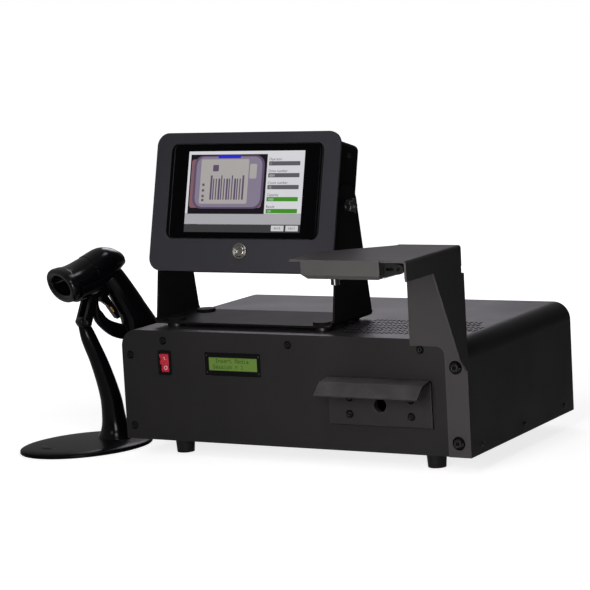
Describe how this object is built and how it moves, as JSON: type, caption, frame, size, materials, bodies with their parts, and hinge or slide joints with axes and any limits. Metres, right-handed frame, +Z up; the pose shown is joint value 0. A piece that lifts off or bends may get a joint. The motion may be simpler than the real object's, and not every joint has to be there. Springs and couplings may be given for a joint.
{
  "type": "hard drive degausser",
  "caption": "Bench hard drive degausser with a drive drawer, tilting touch screen on a yoke, overhead camera arm, and a hand scanner in its stand.",
  "frame": {"origin": "on the table, under the middle of the whole set's bounding box", "axes": "+X along the front to the camera arm's side, +Y from the front to the rear, +Z up"},
  "size_m": [0.5822, 0.42, 0.3647],
  "materials": {
    "powder_coat": "fine textured black powder coat",
    "black_screws": "black oxide, satin",
    "foot_rubber": "matte",
    "bezel_plastic": "matte",
    "lcd_glass": "gloss, yellow-green backlight",
    "rocker_red": "gloss, red",
    "tray_plastic": "matte, glass filled",
    "bobbin_plastic": "matte",
    "copper_wire": "enamelled copper wire",
    "can_aluminium": "satin",
    "core_iron": "varnished laminations",
    "board_green": "solder mask",
    "sink_aluminium": "satin",
    "guard_chrome": "bright",
    "lens_black": "gloss",
    "diffuser_white": "translucent white",
    "block_black": "matte",
    "touch_glass": "gloss, black border",
    "panel_grey": "satin",
    "button_steel": "satin stainless",
    "knob_plastic": "matte",
    "gloss_black": "high gloss",
    "nose_rubber": "satin",
    "window_glass": "dark red filter"
  },
  "bodies": {
    "cabinet": {"base_pan": "powder_coat", "cover": "powder_coat", "front_panel": "powder_coat", "rear_panel": "powder_coat", "foot_front_left": "foot_rubber", "foot_front_right": "foot_rubber", "foot_rear_left": "foot_rubber", "foot_rear_right": "foot_rubber", "panel_screws": "black_screws", "cover_screws": "black_screws", "lcd_module": "bezel_plastic", "lcd_window": "lcd_glass", "switch_housing": "bezel_plastic", "coil_bobbin": "bobbin_plastic", "coil_winding": "copper_wire", "guide_left": "bobbin_plastic", "guide_right": "bobbin_plastic", "capacitor_bank": "can_aluminium", "capacitor_clamp": "bobbin_plastic", "transformer_core": "core_iron", "transformer_winding": "copper_wire", "control_board": "board_green", "pulse_heatsink": "sink_aluminium", "fan_frame": "bezel_plastic", "fan_guard": "guard_chrome", "power_inlet": "bezel_plastic", "fuse_holder": "bezel_plastic", "arm_bracket": "powder_coat", "arm_screws": "black_screws", "camera_housing": "powder_coat", "camera_lens": "lens_black", "light_diffuser": "diffuser_white", "camera_mount": "block_black", "arm_block": "block_black", "display_yoke": "powder_coat", "yoke_bumpers": "foot_rubber", "yoke_discs": "black_screws", "stand_base": "gloss_black", "stand_neck": "gloss_black"},
    "fan": {"fan_rotor": "bezel_plastic"},
    "rocker": {"rocker_paddle": "rocker_red"},
    "drawer": {"drawer_front": "powder_coat", "drawer_tray": "tray_plastic", "drawer_screws": "black_screws"},
    "display": {"display_plate": "powder_coat", "touch_glass": "touch_glass", "screen_panel": "panel_grey", "display_board": "board_green", "display_box": "powder_coat", "box_screws": "black_screws", "button_ring": "button_steel"},
    "display_button": {"button_cap": "button_steel"},
    "knob_left": {"knob_left": "knob_plastic"},
    "knob_right": {"knob_right": "knob_plastic"},
    "cradle": {"cradle": "gloss_black"},
    "scanner": {"scanner_shell": "gloss_black", "scanner_nose": "nose_rubber", "scanner_window": "window_glass"},
    "trigger": {"scanner_trigger": "gloss_black"}
  },
  "joints": [
    {"name": "fan_spin", "type": "hinge", "parent": "cabinet", "child": "fan", "pos_m": [-0.07968, 0.1865, 0.081], "axis": [0, 1, 0], "continuous": true},
    {"name": "rocker_tilt", "type": "hinge", "parent": "cabinet", "child": "rocker", "pos_m": [-0.09118, -0.0714, 0.109], "axis": [1, 0, 0], "range_deg": [-18, 0]},
    {"name": "drawer_slide", "type": "slide", "parent": "cabinet", "child": "drawer", "axis": [0, -1, 0], "range_m": [0, 0.15]},
    {"name": "display_tilt", "type": "hinge", "parent": "cabinet", "child": "display", "pos_m": [0.00132, -0.0035, 0.2796], "axis": [1, 0, 0], "range_deg": [-25, 10]},
    {"name": "button_push", "type": "slide", "parent": "display", "child": "display_button", "axis": [0, 0.9677, -0.2521], "range_m": [0, 0.0012], "stiffness_N_per_m": 1500, "springref_m": -0.0004},
    {"name": "knob_left_turn", "type": "hinge", "parent": "display", "child": "knob_left", "pos_m": [-0.11718, -0.0035, 0.2796], "axis": [-1, 0, 0], "range_deg": [0, 360]},
    {"name": "knob_right_turn", "type": "hinge", "parent": "display", "child": "knob_right", "pos_m": [0.11482, -0.0035, 0.2796], "axis": [1, 0, 0], "range_deg": [0, 360]},
    {"name": "cradle_tilt", "type": "hinge", "parent": "cabinet", "child": "cradle", "pos_m": [-0.21993, -0.0457, 0.147], "axis": [-0.866, 0.5, 0], "range_deg": [-8, 8]},
    {"name": "scanner_lift", "type": "slide", "parent": "cradle", "child": "scanner", "axis": [0, 0, 1], "range_m": [0, 0.06]},
    {"name": "trigger_pull", "type": "hinge", "parent": "scanner", "child": "trigger", "pos_m": [-0.20718, -0.02362, 0.1715], "axis": [-0.866, 0.5, 0], "range_deg": [0, 5], "stiffness_Nm_per_rad": 0.3, "springref_deg": -2.86}
  ]
}
